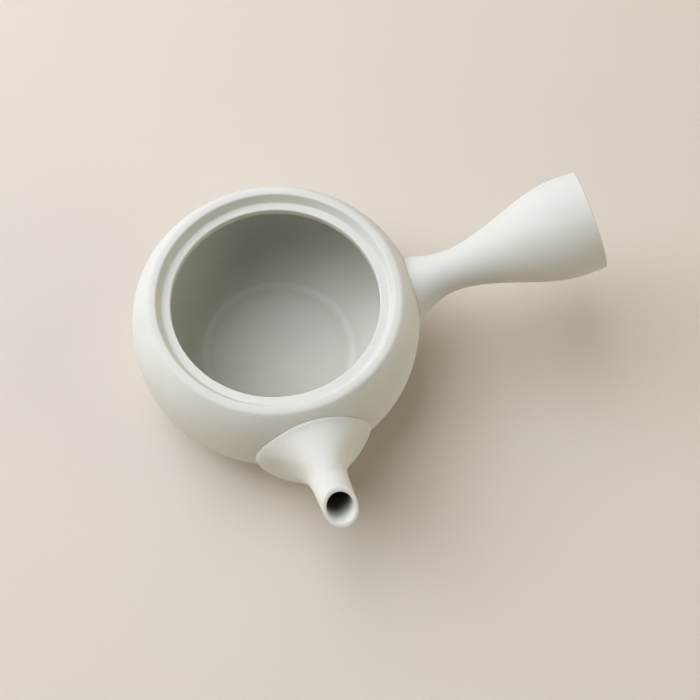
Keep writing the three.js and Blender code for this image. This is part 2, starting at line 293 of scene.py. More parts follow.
def cut(piece: bpy.types.Object, tool: bpy.types.Object, keep: Keep, crease: float) -> None:
    """Cuts a piece with a tool, and removes the tool.

    Args:
        piece: the object that is changed.
        tool: the other body.
        keep: the part of the piece that stays.
        crease: degrees between faces above which an edge is shaded sharp.
    """
    modifier = piece.modifiers.new("cut", "BOOLEAN")
    modifier.object, modifier.operation, modifier.solver = tool, keep.value, "EXACT"
    evaluated = piece.evaluated_get(bpy.context.evaluated_depsgraph_get())
    mesh = bpy.data.meshes.new_from_object(evaluated)
    piece.modifiers.clear()
    before, piece.data = piece.data, mesh
    mesh.name = piece.name
    mesh.materials.clear()
    mesh.shade_smooth()
    mesh.set_sharp_from_angle(angle=math.radians(crease))
    bpy.data.meshes.remove(before)
    bpy.data.meshes.remove(tool.data)


# Material nodes


@dataclass
class Wiring:
    """A node tree with short ways to add and join nodes."""

    tree: bpy.types.NodeTree

    def add(self, kind: str, inputs: dict[str | int, object] | None = None, **settings: object) -> Node:
        """A node of a kind, with settings as attributes and inputs as values or as sockets to join.

        Args:
            kind: Blender's type name.
            inputs: value or socket for each named or numbered input.
            settings: attributes of the node.

        Returns:
            The node.
        """
        node = self.tree.nodes.new(kind)
        for name, value in settings.items():
            setattr(node, name, value)
        for key, value in (inputs or {}).items():
            if isinstance(value, Socket):
                self.tree.links.new(value, node.inputs[key])
            else:
                node.inputs[key].default_value = value
        return node

    def join(self, source: Socket, target: Socket) -> None:
        """A link between two sockets."""
        self.tree.links.new(source, target)

    def maths(self, operation: str, *values: object) -> Socket:
        """The result of a Math node on numbers or sockets."""
        return self.add("ShaderNodeMath", dict(enumerate(values)), operation=operation).outputs[0]

    def product(self, *values: object) -> Socket:
        """The product of several numbers or sockets.

        Args:
            values: the factors.

        Returns:
            The last Math node's socket.
        """
        result, *others = values
        for value in others:
            result = self.maths("MULTIPLY", result, value)
        return result

    def vector(self, operation: str, *values: object) -> Socket:
        """The result of a Vector Math node on vectors or sockets, a number for lengths and dot products."""
        node = self.add("ShaderNodeVectorMath", dict(enumerate(values)), operation=operation)
        return node.outputs["Value" if operation in ("LENGTH", "DOT_PRODUCT") else "Vector"]

    def ramp(self, value: Socket, start: float, end: float, low: float = 0.0, high: float = 1.0,
             interpolation: str = "LINEAR") -> Socket:
        """A value carried from the range start to end onto low to high, and held at both ends."""
        inputs = {"Value": value, "From Min": start, "From Max": end, "To Min": low, "To Max": high}
        return self.add("ShaderNodeMapRange", inputs, interpolation_type=interpolation).outputs[0]

    def blend(self, share: Socket, first: object, second: object, way: str = "MIX") -> Socket:
        """Two colours mixed by a share, or the first multiplied by the second to that share."""
        inputs = {0: share, 6: first, 7: second}
        return self.add("ShaderNodeMix", inputs, data_type="RGBA", blend_type=way).outputs[2]

    def noise(self, vector: Socket, scale: float, detail: float = 2.0, roughness: float = 0.55) -> Socket:
        """Noise from 0 to 1, with this many features a metre."""
        inputs = {"Vector": vector, "Scale": scale, "Detail": detail, "Roughness": roughness}
        return self.add("ShaderNodeTexNoise", inputs).outputs[0]


def new_material(name: str) -> tuple[bpy.types.Material, Wiring, Node, Socket]:
    """A material that is made of nodes.

    Args:
        name: the material's name.

    Returns:
        The material, its wiring, its Principled shader and its Object coordinates.
    """
    material = bpy.data.materials.new(name)
    material.use_nodes = True
    w = Wiring(material.node_tree)
    place = w.add("ShaderNodeTexCoord").outputs["Object"]
    return material, w, material.node_tree.nodes["Principled BSDF"], place


def new_group(name: str, inputs: dict[str, str], outputs: dict[str, str]) -> tuple[Wiring, Node, Node]:
    """An empty shader node group.

    Args:
        name: the group's name.
        inputs: Vector, Color or Float for each input.
        outputs: the same for each output.

    Returns:
        Its wiring, its input node and its output node.
    """
    tree = bpy.data.node_groups.new(name, "ShaderNodeTree")
    for sockets, way in ((inputs, "INPUT"), (outputs, "OUTPUT")):
        for socket, kind in sockets.items():
            tree.interface.new_socket(name=socket, in_out=way, socket_type="NodeSocket" + kind)
    wiring = Wiring(tree)
    return wiring, wiring.add("NodeGroupInput"), wiring.add("NodeGroupOutput")


@dataclass(frozen=True)
class ClayGrain:
    """The body of unglazed clay: fine grain and pores, soft clouds of tone and faint turning lines.

    Scales are features a metre, and each pair is the range of a noise or of what comes of it.
    """

    cloud_scale: float = 42.0
    cloud_detail: float = 3.0
    cloud_range: Pair = (0.3, 0.7)
    fine_scale: float = 1900.0
    finer_scale: float = 5200.0
    finer_share: float = 0.5
    line_scales: Triple = (40.0, 40.0, 1500.0)
    line_detail: float = 3.0
    pore_scale: float = 620.0
    pore_range: Pair = (0.05, 0.16)
    patch_scale: float = 260.0
    patch_range: Pair = (0.55, 0.72)
    pore_tone: Triple = (0.72, 0.7, 0.66)
    roughness: Pair = (0.6, 0.76)

    def build(self) -> bpy.types.NodeTree:
        """The node group that the clay's materials share.

        Height is grain * (fine noise + a share of finer noise) + lines * noise drawn out along the rings,
        less the pores. Colour is the two given colours mixed by clouds of noise, darkened in the pores.

        Returns:
            The node group.
        """
        inputs = {"Vector": "Vector", "Light clay": "Color", "Dark clay": "Color", "Grain": "Float",
                  "Lines": "Float", "Pores": "Float"}
        outputs = {"Color": "Color", "Roughness": "Float", "Height": "Float"}
        w, given, result = new_group("clay grain", inputs, outputs)
        place = given.outputs["Vector"]
        clouds = w.noise(place, self.cloud_scale, self.cloud_detail)
        fine = w.noise(place, self.fine_scale)
        finer = w.noise(place, self.finer_scale)
        bands = w.noise(w.vector("MULTIPLY", place, self.line_scales), 1.0, self.line_detail)
        speck = w.add("ShaderNodeTexVoronoi", {"Vector": place, "Scale": self.pore_scale}).outputs["Distance"]
        patchy = w.ramp(w.noise(place, self.patch_scale), *self.patch_range)
        pores = w.product(w.ramp(speck, *self.pore_range, 1.0, 0.0), patchy, given.outputs["Pores"])
        tone = w.ramp(clouds, *self.cloud_range)
        clay = w.blend(tone, given.outputs["Dark clay"], given.outputs["Light clay"])
        fines = w.maths("MULTIPLY_ADD", finer, self.finer_share, fine)
        grain = w.product(fines, given.outputs["Grain"])
        lines = w.product(bands, given.outputs["Lines"])
        height = w.maths("SUBTRACT", w.maths("ADD", grain, lines), pores)
        w.join(w.blend(pores, clay, (*self.pore_tone, 1.0), "MULTIPLY"), result.inputs["Color"])
        w.join(w.ramp(fine, 0.0, 1.0, *self.roughness), result.inputs["Roughness"])
        w.join(height, result.inputs["Height"])
        return w.tree


@dataclass(frozen=True)
class ClayFinish:
    """A finish of unglazed clay.

    Light and dark are the tones of its body, and shade_tone multiplies them in a hollow: painted shade.
    Relief is the height in metres of grain, lines and pores, and scatter the share of light that spreads
    inside, by scatter_reach.
    """

    name: str
    light: Triple = (0.731, 0.744, 0.715)
    dark: Triple = (0.697, 0.709, 0.68)
    # Painted shade: the tone that multiplies the clay's colour inside a hollow.
    shade_tone: Triple = (0.905, 0.887, 0.84)
    grain: float = 0.6
    lines: float = 0.5
    pores: float = 0.5
    relief: float = 0.00012
    specular: float = 0.35
    scatter: float = 0.35
    scatter_reach: float = 0.0016

    def material(self, grain_group: bpy.types.NodeTree,
                 shade_space: "HollowShade | Bore | None" = None) -> bpy.types.Material:
        """The procedural material, on Object coordinates.

        Args:
            grain_group: the node group of the clay's body.
            shade_space: the space in which the clay is darkened by its shade tone, as painted shade.

        Returns:
            The material.
        """
        material, w, shader, place = new_material(self.name)
        clay = w.add("ShaderNodeGroup", node_tree=grain_group)
        w.join(place, clay.inputs["Vector"])
        clay.inputs["Light clay"].default_value = (*self.light, 1.0)
        clay.inputs["Dark clay"].default_value = (*self.dark, 1.0)
        for key, value in (("Grain", self.grain), ("Lines", self.lines), ("Pores", self.pores)):
            clay.inputs[key].default_value = value
        bump = w.add("ShaderNodeBump", {"Height": clay.outputs["Height"], "Distance": self.relief})
        color = clay.outputs["Color"]
        # Painted shade: the colour is darkened by the shade tone where the mask is set.
        if shade_space is not None:
            color = w.blend(shade_space.mask(w, place), color, (*self.shade_tone, 1.0), "MULTIPLY")
        w.join(color, shader.inputs["Base Color"])
        w.join(clay.outputs["Roughness"], shader.inputs["Roughness"])
        w.join(bump.outputs["Normal"], shader.inputs["Normal"])
        shader.inputs["Specular IOR Level"].default_value = self.specular
        shader.inputs["Subsurface Weight"].default_value = self.scatter
        shader.inputs["Subsurface Radius"].default_value = (1.0, 1.0, 1.0)
        shader.inputs["Subsurface Scale"].default_value = self.scatter_reach
        return material


# The pieces


@dataclass(frozen=True)
class Belly:
    """The pot's outside: two superellipses of revolution that meet at the widest ring."""

    radius: float = 52.2
    shoulder_rise: float = 33.3
    shoulder_fullness: float = 2.55
    underside_drop: float = 30.5
    underside_fullness: float = 2.8
    base_radius: float = 25.9
    wall: float = 3.4

    @property
    def height(self) -> float:
        """Height of the widest ring above the base."""
        drop = superellipse(self.underside_drop, self.radius, self.underside_fullness, self.base_radius)
        return float(drop)

    def radius_at(self, z: Array, grow: float = 0.0) -> Array:
        """Outer radius at a height, the upper or the lower superellipse.

        Args:
            z: heights above the base.
            grow: distance by which the outside is moved out.

        Returns:
            The radius at each height.
        """
        rise = np.asarray(z, float) - self.height
        above = superellipse(self.radius + grow, self.shoulder_rise + grow, self.shoulder_fullness, rise)
        below = superellipse(self.radius + grow, self.underside_drop + grow, self.underside_fullness, rise)
        return np.where(rise > 0.0, above, below)

    def ring(self, angles: Array, height: float, radius: Array, stand: Array) -> Array:
        """Rings on the belly round a point of its front: (R cos a, -sqrt(r(z)^2 - x^2), height + R sin a).

        Args:
            angles: the angles round the rings, 0 at +X.
            height: height of the point.
            radius: the rings' radii, seen from the front, or a row of radii for each ring.
            stand: how far each stands off the belly.

        Returns:
            A grid of one row a ring.
        """
        radius, stand = np.broadcast_arrays(np.atleast_1d(radius), np.atleast_1d(stand))
        rows = []
        for size, off in zip(radius, stand):
            x, z = size * np.cos(angles), height + size * np.sin(angles)
            rows.append(np.stack([x, -np.sqrt(self.radius_at(z, off) ** 2 - x * x), z], axis=-1))
        return np.stack(rows)


@dataclass(frozen=True)
class Spread:
    """A value at the top, the sides and the bottom of a flare, blended by |sin|^power between them."""

    top: float
    side: float
    bottom: float
    power: float = 1.5

    def at(self, angles: Array) -> Array:
        """The value at each angle, 0 being the side and a quarter turn the top."""
        end = np.where(np.sin(angles) > 0.0, self.top, self.bottom)
        return self.side + (end - self.side) * np.abs(np.sin(angles)) ** self.power


@dataclass(frozen=True)
class Flare:
    """How clay flares from a neck to the belly: its angle on the belly and the pull at its two ends."""

    leave: Spread
    edge_pull: Spread
    neck_pull: Spread

    def rows(self, angles: Array, rim: Array, neck: Array, heading: Array, pull: float, steps: int) -> Array:
        """Rows on a cubic Bezier curve at each angle, from a rim on the belly to a neck.

        Args:
            angles: the angles of the columns.
            rim: points of the rim.
            neck: points of the neck.
            heading: direction of the neck in the upright plane.
            pull: factor on both pulls.
            steps: number of stretches between rows.

        Returns:
            steps + 1 rows.
        """
        leave = np.radians(self.leave.at(angles))
        inward = np.cos(leave)
        start = np.stack([-np.cos(angles) * inward, -np.sin(leave), -np.sin(angles) * inward], axis=-1)
        axis = np.array([0.0, -heading[0], heading[1]])
        edge = rim + start * (pull * self.edge_pull.at(angles))[:, None]
        end = neck - axis * (pull * self.neck_pull.at(angles))[:, None]
        return bezier(rim, edge, end, neck, steps=steps)


@dataclass(frozen=True)
class Pot:
    """The thrown pot: belly, rim, gallery for a lid, ledge, hollow, floor and the pouring hole.

    A low ring and a shallow groove run where the hollow's wall meets the floor.
    """

    belly: Belly = field(default_factory=Belly)
    base_round: float = 1.4
    rim_inset: float = 7.75
    rim_width: float = 2.65
    rim_round: float = 1.2
    rim_edge_round: float = 0.6
    gallery_depth: float = 3.2
    gallery_slant: float = 1.65
    gallery_fillet: float = 0.45
    ledge_width: float = 3.2
    ledge_fall: float = 0.0
    ledge_thickness: float = 2.9
    lip_round: float = 0.6
    ledge_undercut: float = 1.5
    floor_thickness: float = 4.7
    floor_radius: float = 28.9
    floor_step: float = 0.95
    floor_step_width: float = 1.9
    floor_step_round: float = 0.8
    floor_shelf_rise: float = 0.3
    groove_depth: float = 0.45
    groove_width: float = 3.6
    hollow_fullness: float = 2.3
    pour_hole_radius: float = 11.0
    pour_hole_from: float = 32.0
    crease: float = 40.0
    belly_rows: int = 56
    floor_rows: int = 8
    around: int = 256
    hole_facets: int = 64

    @property
    def rim_radius(self) -> float:
        """Radius of the rim's outer edge."""
        return self.belly.radius - self.rim_inset

    @property
    def rim_height(self) -> float:
        """Height of the rim's top."""
        b = self.belly
        return b.height + float(superellipse(b.shoulder_rise, b.radius, b.shoulder_fullness, self.rim_radius))

    @property
    def hollow_radius(self) -> float:
        """Radius of the hollow at the widest ring."""
        return self.belly.radius - self.belly.wall

    @property
    def ceiling(self) -> float:
        """Height of the ledge's underside."""
        return self.mouth_height - self.ledge_thickness

    @property
    def mouth_height(self) -> float:
        """Height of the mouth's lip."""
        return self.rim_height - self.gallery_depth - self.ledge_fall

    def hollow(self, inset: float = 0.0) -> Array:
        """The hollow's outline (radius, height) from under the ledge to the floor's edge, two superellipses.

        Args:
            inset: distance by which the outline is drawn in.

        Returns:
            The points.
        """
        b = self.belly
        top = self.ceiling - self.ledge_undercut - b.height
        rise = top * (1.0 - np.linspace(0.0, 1.0, self.belly_rows // 4, endpoint=False))
        shoulder = superellipse(self.hollow_radius, b.shoulder_rise - b.wall, b.shoulder_fullness, rise)
        depth = b.height - self.floor_thickness
        drop = depth / superellipse(1.0, self.hollow_radius, self.hollow_fullness, self.floor_radius)
        fall = depth * np.sin(np.linspace(0.0, np.pi / 2.0, self.belly_rows // 2 + 1))
        bowl = superellipse(self.hollow_radius, drop, self.hollow_fullness, fall)
        radius = np.concatenate([shoulder, bowl]) - inset
        return np.stack([radius, b.height + np.concatenate([rise, -fall])], axis=-1)

    def profile(self) -> Array:
        """The pot's section, from the base's middle, over the rim, to the floor's middle.

        Its corners are joined by straight stretches, apart from belly and hollow, and rounded.

        Returns:
            Points (radius, height).
        """
        b = self.belly
        share = 0.5 - 0.5 * np.cos(np.linspace(0.0, np.pi, self.belly_rows + 1))
        z = self.base_round + (self.rim_height - self.rim_round - self.base_round) * share
        belly = np.stack([b.radius_at(z), z], axis=-1)
        gallery_radius = self.rim_radius - self.rim_width
        ledge_radius = gallery_radius - self.gallery_slant
        ledge_height = self.rim_height - self.gallery_depth
        mouth = ledge_radius - self.ledge_width
        centre = np.array([0.0, 0.0])
        base_edge = np.array([float(b.radius_at(0.0)), 0.0])
        rim_outer = np.array([self.rim_radius, self.rim_height])
        rim_inner = np.array([gallery_radius, self.rim_height])
        ledge = np.array([ledge_radius, ledge_height])
        lip_top = np.array([mouth, self.mouth_height])
        lip_under = np.array([mouth, self.ceiling])
        hollow = self.hollow()
        ceiling = np.array([hollow[0, 0], self.ceiling])
        floor = np.array([0.0, self.floor_thickness])
        step = self.floor_thickness + self.floor_step
        wall = hollow[hollow[:, 1] > step + self.floor_shelf_rise]
        step_top = np.array([self.floor_radius, step])
        groove_radius = self.floor_radius - self.floor_step_width
        groove = np.array([groove_radius, self.floor_thickness - self.groove_depth])
        groove_edge = np.array([groove_radius - self.groove_width, self.floor_thickness])
        flat = np.linspace(1.0, 1.0 / self.floor_rows, self.floor_rows)[1:, None]
        base = rounded(centre, base_edge, belly[0], self.base_round)
        inner_floor = rounded(groove, groove_edge, floor, self.groove_width / 2.0)
        return np.concatenate([
            (base[0] * flat)[::-1],
            base,
            belly[1:],
            rounded(belly[-1], rim_outer, rim_inner, self.rim_round),
            rounded(rim_outer, rim_inner, ledge, self.rim_edge_round),
            rounded(rim_inner, ledge, lip_top, self.gallery_fillet),
            rounded(ledge, lip_top, lip_under, self.lip_round),
            rounded(lip_top, lip_under, ceiling, self.lip_round),
            rounded(lip_under, ceiling, hollow[0], self.ledge_undercut),
            wall[1:-1],
            rounded(wall[-2], wall[-1], step_top, self.floor_step_round),
            rounded(wall[-1], step_top, groove, self.floor_step_round),
            rounded(step_top, groove, groove_edge, self.floor_step_round),
            inner_floor,
            floor + (inner_floor[-1] - floor) * flat,
        ])

    def hole(self) -> bpy.types.Object:
        """The rod through the wall that the pouring hole is cut with.

        Returns:
            The rod's object.
        """
        height = self.belly.height - Spout.rim_drop
        ends = np.array([[self.pour_hole_from, height], [self.belly.radius + self.belly.wall, height]])
        level = np.tile(direction(0.0), (2, 1))
        rod = across(turns(self.hole_facets), ends, level, np.full(2, self.pour_hole_radius))
        return mesh_of("pouring_rod", [Skin(rod)])

    def build(self) -> bpy.types.Object:
        """The pot as one closed mesh.

        Returns:
            The piece.
        """
        piece = mesh_of("thrown_pot", [Skin(lathe(self.profile(), self.around))])
        cut(piece, self.hole(), Keep.OUTSIDE, self.crease)
        return piece


@dataclass(frozen=True)
class Spout:
    """The spout: a bell on the belly that becomes a rising tube, cut off at a slant."""

    belly: Belly = field(default_factory=Belly)
    rim_radius: float = 21.3
    rim_drop: float = 2.0
    rim_stand: float = 0.7
    rim_round: float = 0.5
    rim_inset: Spread = Spread(0.7, 0.3, 0.0)
    neck_reach: float = 18.0
    neck_rise: float = 15.5
    neck_slope: float = 31.6
    neck_radius: float = 6.3
    tip_reach: float = 27.5
    tip_rise: float = 22.8
    tip_slope: float = 35.4
    tip_radius: float = 5.88
    tip_facing: float = 64.7
    tip_overrun: float = 7.0
    tip_round: float = 0.62
    neck_wall: float = 2.0
    tip_wall: float = 1.3
    bell_wall: float = 5.4
    bore_pull: float = 0.75
    bell: Flare = Flare(Spread(55.4, 71.9, 92.4), Spread(3.1, 5.25, 17.3), Spread(2.0, 16.9, 17.5))
    around: int = 144
    face_rows: int = 8
    bell_rows: int = 44
    tube_rows: int = 26
    line_samples: int = 160

    @property
    def height(self) -> float:
        """Height of the bell's middle."""
        return self.belly.height - self.rim_drop

    def centre_line(self) -> tuple[Array, Array, Array]:
        """The tube's centre line, a cubic Bezier curve from neck to tip, then straight on past the tip.

        Returns:
            Points (distance out, height), unit headings, and the share of the way from neck to tip at each.
        """
        neck = np.array([self.belly.radius + self.neck_reach, self.height + self.neck_rise])
        tip = np.array([self.belly.radius + self.tip_reach, self.height + self.tip_rise])
        third = np.linalg.norm(tip - neck) / 3.0
        leaving, arriving = direction(self.neck_slope), direction(self.tip_slope)
        points = bezier(neck, neck + leaving * third, tip - arriving * third, tip, steps=self.line_samples)
        share = np.linspace(0.0, 1.0, self.line_samples + 1)
        past = np.linspace(0.0, self.tip_overrun, self.line_samples // 2)[1:, None]
        headings = np.gradient(points, axis=0)
        headings[0], headings[-1] = leaving, arriving
        headings /= np.linalg.norm(headings, axis=1, keepdims=True)
        points = np.concatenate([points, tip + past * arriving])
        headings = np.concatenate([headings, np.tile(arriving, (len(past), 1))])
        return points, headings, np.concatenate([share, np.ones(len(past))])

    def sheet(self, rim_radius: float | Array, stand: float, pull: float, neck_radius: float,
              tip_radius: float, short: float) -> Array:
        """The outside or the bore: the bell's rows, then tube rows that end short of the tip's cut.

        Along each column the tube runs over rings of the centre line up to the place where its distance to
        the cut's plane is the given one, found by linear interpolation.

        Args:
            rim_radius: radius of the bell on the belly, one or a value a column.
            stand: how far its rim stands off the belly.
            pull: factor on the bell's pulls.
            neck_radius: radius at the neck.
            tip_radius: radius at the tip.
            short: distance to the cut's plane at which each column ends.

        Returns:
            The rows, from belly to tip.
        """
        angles = turns(self.around)
        line, headings, share = self.centre_line()
        radius = neck_radius + (tip_radius - neck_radius) * share
        rings = across(angles, line, headings, radius)
        rim = self.belly.ring(angles, self.height, np.broadcast_to(rim_radius, (1, self.around)), stand)[0]
        bell = self.bell.rows(angles, rim, rings[0], headings[0], pull, self.bell_rows)
        facing = direction(self.tip_facing)
        normal = np.array([0.0, -facing[0], facing[1]])
        tip = np.array([0.0, -(self.belly.radius + self.tip_reach), self.height + self.tip_rise])
        gap = (rings - tip) @ normal + short
        row = (gap < 0.0).sum(axis=0) - 1
        column = np.arange(self.around)
        stop = row - gap[row, column] / (gap[row + 1, column] - gap[row, column])
        place = stop * np.linspace(0.0, 1.0, self.tube_rows + 1)[1:, None]
        low = np.minimum(place.astype(int), len(line) - 2)
        part = (place - low)[..., None]
        tube = rings[low, column] * (1.0 - part) + rings[low + 1, column] * part
        return np.concatenate([bell, tube])

    def build(self) -> bpy.types.Object:
        """The spout as one closed mesh: outside, rounded lip, bore, and the face on the belly.

        Returns:
            The piece.
        """
        angles = turns(self.around)
        bore_rim = self.rim_radius - self.bell_wall
        edge = self.rim_radius - self.rim_inset.at(angles)
        outside = edge, self.rim_stand, 1.0, self.neck_radius, self.tip_radius
        bore = self.neck_radius - self.neck_wall, self.tip_radius - self.tip_wall
        inside = bore_rim, SEAM, self.bore_pull, *bore
        outer, inner = self.sheet(*outside, self.tip_round), self.sheet(*inside, self.tip_round)
        outer_corner, inner_corner = self.sheet(*outside, 0.0)[-1], self.sheet(*inside, 0.0)[-1]
        foot = self.belly.ring(angles, self.height, edge[None], SEAM)[0]
        radii = np.linspace(np.full(self.around, bore_rim), edge, self.face_rows)[1:-1]
        rows = [
            self.belly.ring(angles, self.height, radii, SEAM),
            foot[None],
            rounded(foot, outer[0], outer[2], self.rim_round),
            outer[3:-1],
            rounded(outer[-1], outer_corner, inner_corner, self.tip_round),
            rounded(outer_corner, inner_corner, inner[-1], self.tip_round),
            inner[-2::-1],
        ]
        return mesh_of("flared_spout", [Skin(np.concatenate(rows), joined=True)])


@dataclass(frozen=True)
class Handle:
    """The hollow trumpet handle, flared where it meets the belly and open at its end."""

    belly: Belly = field(default_factory=Belly)
    turn: float = 87.6
    tilt: float = 18.0
    axis_height: float = 19.5
    root_radius: float = 12.9
    root_rise: float = 3.3
    waist_reach: float = 16.3
    waist_radius: float = 7.6
    trumpet_reach: float = 61.8
    trumpet_radius: float = 18.2
    length: float = 69.5
    end_radius: float = 18.0
    wall: float = 3.0
    lip_round: float = 1.0
    socket_reach: float = 14.0
    socket_dish: float = 2.5
    face_from: float = 0.5
    root: Flare = Flare(Spread(66.5, 66.5, 66.5), Spread(0.8, 0.8, 0.8), Spread(4.0, 8.5, 8.3))
    around: int = 144
    face_rows: int = 8
    root_rows: int = 26
    trumpet_rows: int = 60
    socket_rows: int = 44
    dish_rows: int = 8

    def radius_at(self, reach: Array) -> Array:
        """Outer radius between waist and end: two smoothsteps, up to the trumpet and back a little.

        Args:
            reach: distances from the belly along the handle.

        Returns:
            The radius at each.
        """
        swell, fall = self.trumpet_radius - self.waist_radius, self.end_radius - self.trumpet_radius
        rise = swell * smoothstep(reach, self.waist_reach, self.trumpet_reach)
        return self.waist_radius + rise + fall * smoothstep(reach, self.trumpet_reach, self.length)

    def outline(self, start: float, end: float, rows: int, inset: float) -> Array:
        """Points (radius, reach) along the handle, drawn in by inset."""
        reach = np.linspace(start, end, rows + 1)
        return np.stack([self.radius_at(reach) - inset, reach], axis=-1)

    def rings(self, outline: Array) -> Array:
        """Rings across the handle's axis.

        Args:
            outline: points (radius, reach).

        Returns:
            A grid of one row a point.
        """
        heading = direction(self.tilt)
        middle = np.array([0.0, self.axis_height]) + heading * (self.belly.radius + outline[:, 1:])
        return across(turns(self.around), middle, np.tile(heading, (len(outline), 1)), outline[:, 0])

    def build(self) -> bpy.types.Object:
        """The handle as one closed mesh, shaped facing -Y and then turned about the pot's axis.

        Returns:
            The piece.
        """
        angles = turns(self.around)
        height = self.belly.height + self.root_rise
        edge = self.length - self.lip_round
        outside = self.outline(self.waist_reach, edge, self.trumpet_rows, 0.0)
        socket = self.outline(self.socket_reach, edge, self.socket_rows, self.wall)
        outer = np.array([self.end_radius, self.length])
        inner = np.array([self.end_radius - self.wall, self.length])
        rim = self.belly.ring(angles, height, self.root_radius, SEAM)[0]
        neck = self.rings(outside[:1])[0]
        bend = np.linspace(0.0, np.pi / 2.0, self.dish_rows + 1)[1:-1]
        dish_reach = self.socket_reach - self.socket_dish * np.sin(bend)
        dish = np.stack([socket[0, 0] * np.cos(bend), dish_reach], axis=-1)
        along = np.concatenate([
            outside[1:-1],
            rounded(outside[-1], outer, inner, self.lip_round),
            rounded(outer, inner, socket[-1], self.lip_round),
            socket[-2::-1],
            dish,
        ])
        radii = np.linspace(self.face_from, self.root_radius, self.face_rows)[:-1]
        face = self.belly.ring(angles, height, radii, SEAM)
        flare = self.root.rows(angles, rim, neck, direction(self.tilt), 1.0, self.root_rows)
        rows = np.concatenate([face, flare, self.rings(along)])
        a = math.radians(self.turn)
        spin = np.array([[math.cos(a), -math.sin(a), 0.0], [math.sin(a), math.cos(a), 0.0], [0.0, 0.0, 1.0]])
        return mesh_of("trumpet_handle", [Skin(rows @ spin.T)])


@dataclass(frozen=True)
class Strainer:
    """The pierced dome inside the pot, part of a hollow ball cut to the pot's hollow."""

    pot: Pot = field(default_factory=Pot)
    radius: float = 16.5
    setback: float = 2.7
    wall: float = 2.2
    hole_radius: float = 0.95
    rings: tuple[int, ...] = (1, 6, 12, 18)
    ring_step: float = 12.5
    pin_span: Pair = (-1.5, 0.5)
    crease: float = 30.0
    around: int = 96
    hole_facets: int = 20

    @property
    def middle(self) -> Array:
        """Centre of the ball."""
        height = self.pot.belly.height - Spout.rim_drop
        return np.array([0.0, -(self.pot.hollow_radius + self.setback), height])

    def ball(self, radius: float) -> Skin:
        """A sphere with its poles along Y: r (sin u sin v, cos u, sin u cos v) from the middle.

        Args:
            radius: its radius.

        Returns:
            The surface.
        """
        u = np.linspace(0.0, np.pi, self.around // 2 + 1)[1:-1, None]
        v = turns(self.around)
        rows = np.stack([np.sin(u) * np.sin(v), np.broadcast_to(np.cos(u), (len(u), self.around)),
                         np.sin(u) * np.cos(v)], axis=-1)
        return Skin(self.middle + radius * rows)

    def pins(self) -> list[Skin]:
        """A rod for each hole, in rings round the dome's middle.

        It is r (cos a side + sin a up) round its direction, which leans off the axis by a step a ring, and it
        spans the wall.

        Returns:
            A surface for each rod.
        """
        skins = []
        a = turns(self.hole_facets)
        reach = self.radius + self.wall * np.array(self.pin_span)
        for ring, count in enumerate(self.rings):
            lean = math.radians(ring * self.ring_step)
            for v in turns(count):
                out = np.array([math.sin(lean) * math.sin(v), math.cos(lean), math.sin(lean) * math.cos(v)])
                side = np.cross(out, [1.0, 0.0, 0.0])
                side /= np.linalg.norm(side)
                up = np.cross(out, side)
                edge = self.hole_radius * (np.cos(a)[:, None] * side + np.sin(a)[:, None] * up)
                skins.append(Skin(self.middle + reach[:, None, None] * out + edge))
        return skins

    def build(self) -> bpy.types.Object:
        """The dome as one closed mesh.

        Returns:
            The piece.
        """
        piece = mesh_of("pierced_strainer", [self.ball(self.radius)])
        space = Skin(lathe(self.pot.hollow(SEAM), self.pot.around))
        for name, skins, keep in (
            ("ball_hollow", [self.ball(self.radius - self.wall)], Keep.OUTSIDE),
            ("pot_hollow", [space], Keep.INSIDE),
            ("strainer_pins", self.pins(), Keep.OUTSIDE),
        ):
            cut(piece, mesh_of(name, skins), keep, self.crease)
        return piece


@dataclass(frozen=True)
class HollowShade:
    """Painted shade inside the pot, as a mask for its material, with a painted highlight on the ring at the
    floor's edge.
    """

    pot: Pot = field(default_factory=Pot)
    fullness: float = 2.55
    rise: float = 31.6
    drop: float = 29.5
    floor: float = 2.3
    fade: float = 4.0
    # Painted highlight: how much the painted shade is lessened on a ring at the floor's edge, its inset and
    # width.
    ring_light: float = 0.4
    worn_inset: float = 0.2
    worn_width: float = 1.4

    def mask(self, w: Wiring, place: Socket) -> Socket:
        """The painted shade: 1 inside the pot and 0 outside, fading in below the lip, and less on the ring at
        the floor's edge, a painted highlight there.

        A point is inside where (r / R)^n + (|height from the widest ring| / h)^n is below 1, with R and h
        about halfway through the wall, and above a level about halfway through the floor. On the ring the
        mask is less by ring_light times a smooth bump of the distance from the ring's radius, a painted
        highlight.

        Args:
            w: the material's wiring.
            place: Object coordinates.

        Returns:
            The mask's socket.
        """
        belly = self.pot.belly
        z = w.add("ShaderNodeSeparateXYZ", {0: place}).outputs["Z"]
        radius = w.vector("LENGTH", w.vector("MULTIPLY", place, (1.0, 1.0, 0.0)))
        height = w.maths("SUBTRACT", z, belly.height * MM)
        above = w.maths("GREATER_THAN", height, 0.0)
        reach = w.maths("MULTIPLY_ADD", above, (self.rise - self.drop) * MM, self.drop * MM)
        upright = w.maths("POWER", w.maths("DIVIDE", w.maths("ABSOLUTE", height), reach), self.fullness)
        level = w.maths("DIVIDE", radius, (belly.radius - 0.5 * belly.wall) * MM)
        inside = w.maths("LESS_THAN", w.maths("ADD", w.maths("POWER", level, self.fullness), upright), 1.0)
        over_floor = w.maths("GREATER_THAN", z, self.floor * MM)
        lip = self.pot.mouth_height
        below_lip = w.ramp(z, lip * MM, (lip - self.fade) * MM)
        # Painted highlight: a lighter ring at the floor's edge, where the painted shade is lessened.
        ring = (self.pot.floor_radius - self.worn_inset) * MM
        away = w.maths("ABSOLUTE", w.maths("SUBTRACT", radius, ring))
        near = w.ramp(away, 0.0, self.worn_width * MM, self.ring_light, 0.0, "SMOOTHSTEP")
        low = w.maths("LESS_THAN", height, 0.0)
        unworn = w.maths("SUBTRACT", 1.0, w.product(near, low))
        return w.product(inside, over_floor, below_lip, unworn)


